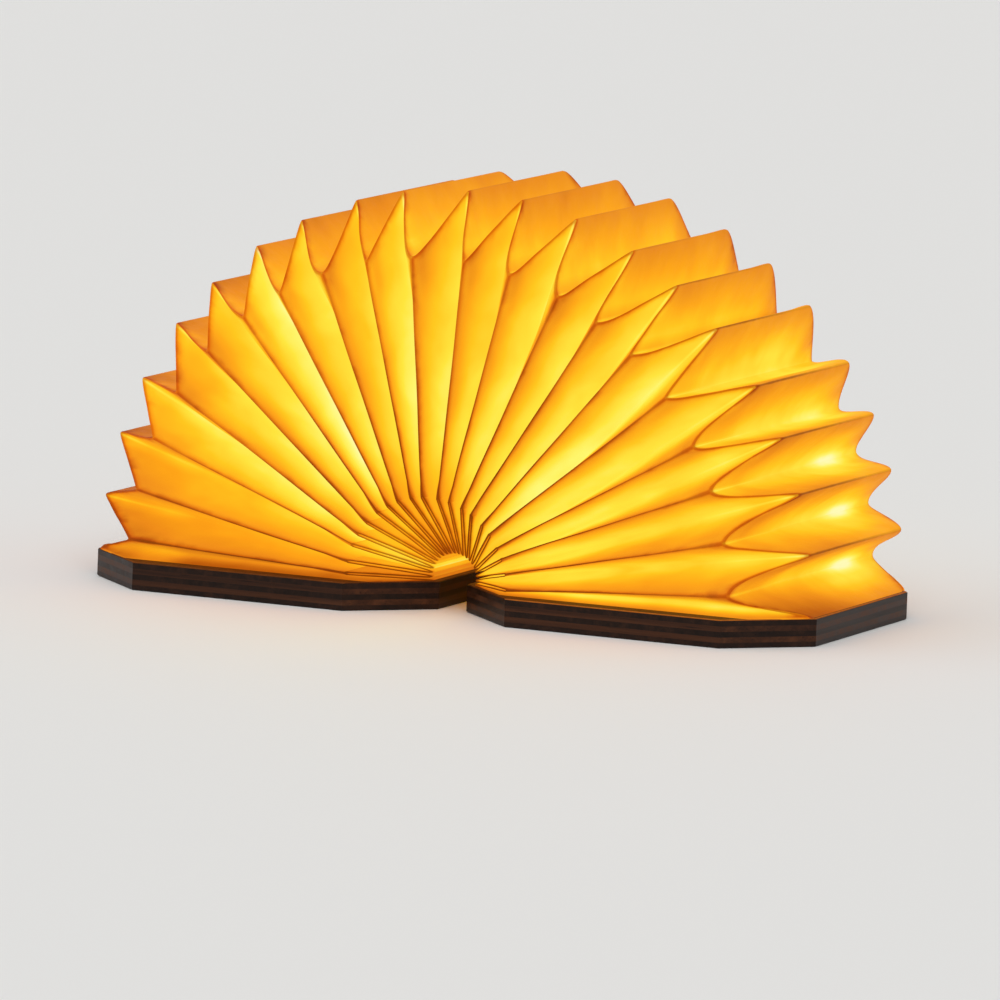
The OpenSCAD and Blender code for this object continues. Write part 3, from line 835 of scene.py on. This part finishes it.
def build_pleat(i):
    """Draws pleat i again in the place of its CAD ring, and attaches it to its fold's body."""
    half = is_half(i)
    points, t, place, side = pleat_grid(i)
    glow, line, ridge, valley, valley_glow = pleat_attributes(points, t, place, side, i)
    line, fold_shade_strength, crease, ridge_shade = line_attributes(points, place, line, 0 if half else 1)
    attributes = {"glow": np.clip(glow, 0, 1.15), "line": line, "ridge": ridge, "valley": valley,
                  "valley_glow": valley_glow, "fold_shade_strength": fold_shade_strength, "ridge_shade": ridge_shade,
                  "crease": crease}
    name = {0: "paper_half_right", LAST: "paper_half_left"}.get(i, "paper_pleat_%02d" % i)
    sharp = SHARP_HALF if half else SHARP_WHOLE
    obj = make_mesh(name, points, grid_normals(points), attributes, sharp)
    obj.data.materials.append(PAPER)
    if half:
        side_name = "right" if i == 0 else "left"
        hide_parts(side_name + "_half_pleat")
        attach(obj, side_name + "_cover")
        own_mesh(obj)
    else:
        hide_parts("pleat_%02d" % i)
        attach(obj, "pleat_%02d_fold" % i)
        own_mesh(obj)


for i in range(LAST + 1):
    build_pleat(i)

# ------------------------------------------------------- carried-over pieces

DARK, MID, LIGHT = srgb(20, 10, 5), srgb(34, 18, 10), srgb(50, 28, 16)
PALE = srgb(40, 21, 11), srgb(60, 33, 18), srgb(80, 46, 26)
WOODS = {
    "outer_board": wood_material("wenge_outer", DARK, MID, LIGHT, "y", 1.0),
    "core_ply_1": wood_material("walnut_core_1", *PALE, "x", 3.0),
    "core_ply_2": wood_material("wenge_core", srgb(18, 9, 5), srgb(30, 16, 9), srgb(44, 25, 14), "y", 5.0),
    "core_ply_3": wood_material("walnut_core_3", *PALE, "x", 7.0),
    "inner_board": wood_material("wenge_inner", DARK, MID, LIGHT, "y", 9.0),
}
STEEL = plain_material("nickel", (0.62, 0.62, 0.64), 0.28, 1.0, 900, 0.08, 0.1)
SOCKET = plain_material("socket_steel", (0.58, 0.59, 0.61), 0.34, 1.0, 500, 0.1, 0.2, (1, 6, 1))
BLACK = plain_material("moulded_black", (0.028, 0.028, 0.03), 0.5, 0, 700, 0.25, 0.2)
GREEN = plain_material("solder_mask", (0.03, 0.17, 0.07), 0.35, 0, 300, 0.2, 0.15)
FOIL = plain_material("battery_foil", (0.62, 0.63, 0.65), 0.42, 0.85, 120, 0.12, 0.5)
LEAD = plain_material("lead_red", (0.42, 0.03, 0.025), 0.45, 0, 500, 0.15, 0.15)
BOARD = plain_material("white_lacquer", (0.80, 0.80, 0.77), 0.4, 0, 260, 0.06, 0.15)


def lit_material(name, colour, glow, strength, rough):
    """A faintly uneven surface that shines."""
    m = Nodes(name)
    n = m.noise(m.coords(), 300, 3, 0.5)
    lo = tuple(v * 0.9 for v in glow)
    m.set(Base_Color=m.ramp(n, [(0.3, tuple(v * 0.92 for v in colour)), (0.7, colour)]),
          Roughness=m.spread(n, 0.3, 0.7, rough, rough * 1.3),
          Emission_Color=m.ramp(n, [(0.3, lo), (0.7, glow)]),
          Emission_Strength=strength, Normal=m.bump(n, 0.1, 0.0001))
    return m.mat


DIFFUSER = lit_material("opal_diffuser", (0.6, 0.56, 0.46), (1.0, 0.78, 0.40), 0.9, 0.35)
EMITTER = lit_material("phosphor", (0.7, 0.5, 0.12), (1.0, 0.80, 0.35), 1.0, 0.25)

FINISH = {
    "trigger_magnet": STEEL, "right_magnets": STEEL, "left_magnets": STEEL,
    "diffuser": DIFFUSER, "led_board": BOARD, "led_emitters": EMITTER, "led_leads": LEAD,
    "battery": FOIL, "battery_leads": LEAD, "control_board": GREEN, "board_components": BLACK,
    "position_sensor": BLACK, "socket_shell": SOCKET, "socket_tongue": BLACK,
    "right_paper_border": RIGHT_BORDER, "left_paper_border": LEFT_BORDER,
}
for side_name in ("right", "left"):
    for ply, wood in WOODS.items():
        FINISH["%s_%s" % (side_name, ply)] = wood


for node, material in FINISH.items():
    materials = frame["nodes"][node].data.materials
    materials.clear()
    materials.append(material)

# ---------------------------------------------------- floor, light and camera

FLOOR_HALF = 9.0                    # metres
WORLD_LIGHT = 0.55
# The photograph's camera, fitted to points picked in it: its direction in degrees, its
# lens in mm and its place in metres
YAW, PITCH_DOWN, ROLL = 23.407, 7.552, 2.223
LENS = 496.28
CAMERA_AT = (1.9801, -4.5781, 0.6972)

scene = bpy.context.scene
scene.view_settings.view_transform = "Standard"


def floor():
    """A plain pale floor."""
    mesh = bpy.data.meshes.new("floor")
    s = FLOOR_HALF
    mesh.from_pydata([(-s, -s, 0), (s, -s, 0), (s, s, 0), (-s, s, 0)], [], [(0, 1, 2, 3)])
    obj = bpy.data.objects.new("floor", mesh)
    scene.collection.objects.link(obj)
    m = Nodes("floor")
    m.set(Base_Color=(0.84, 0.835, 0.82), Roughness=0.7)
    m.bsdf.inputs["Specular IOR Level"].default_value = 0.1
    mesh.materials.append(m.mat)


def sun(name, toward, power, spread):
    """A soft lamp that shines toward a direction, its disc spread degrees wide."""
    data = bpy.data.lights.new(name, "SUN")
    data.energy = power
    data.angle = math.radians(spread)
    obj = bpy.data.objects.new(name, data)
    scene.collection.objects.link(obj)
    obj.rotation_euler = Vector(toward).to_track_quat("-Z", "Y").to_euler()


def world():
    """Even white light from all round."""
    w = bpy.data.worlds.new("studio")
    scene.world = w
    w.use_nodes = True
    bg = w.node_tree.nodes["Background"]
    bg.inputs[0].default_value = (1.0, 1.0, 1.0, 1)
    bg.inputs[1].default_value = WORLD_LIGHT


def camera():
    """A camera at the photograph's viewing angle."""
    yaw, pitch, roll = (math.radians(v) for v in (YAW, PITCH_DOWN, ROLL))
    level = math.cos(pitch)
    forward = Vector((-math.sin(yaw) * level, math.cos(yaw) * level, -math.sin(pitch)))
    right = Vector((math.cos(yaw), math.sin(yaw), 0))
    up = right.cross(forward)
    x = right * math.cos(roll) + up * math.sin(roll)
    y = -right * math.sin(roll) + up * math.cos(roll)
    data = bpy.data.cameras.new("camera")
    data.lens = LENS
    data.sensor_width = 36
    data.clip_start = 0.1
    data.clip_end = 40
    obj = bpy.data.objects.new("camera", data)
    scene.collection.objects.link(obj)
    rot = Matrix((x, y, -forward)).transposed().to_4x4()
    obj.matrix_world = Matrix.Translation(CAMERA_AT) @ rot
    scene.camera = obj


floor()
world()
sun("key", (-0.5, 1.0, -1.3), 1.1, 40)
sun("fill", (1.0, 0.6, -0.9), 0.45, 60)
camera()
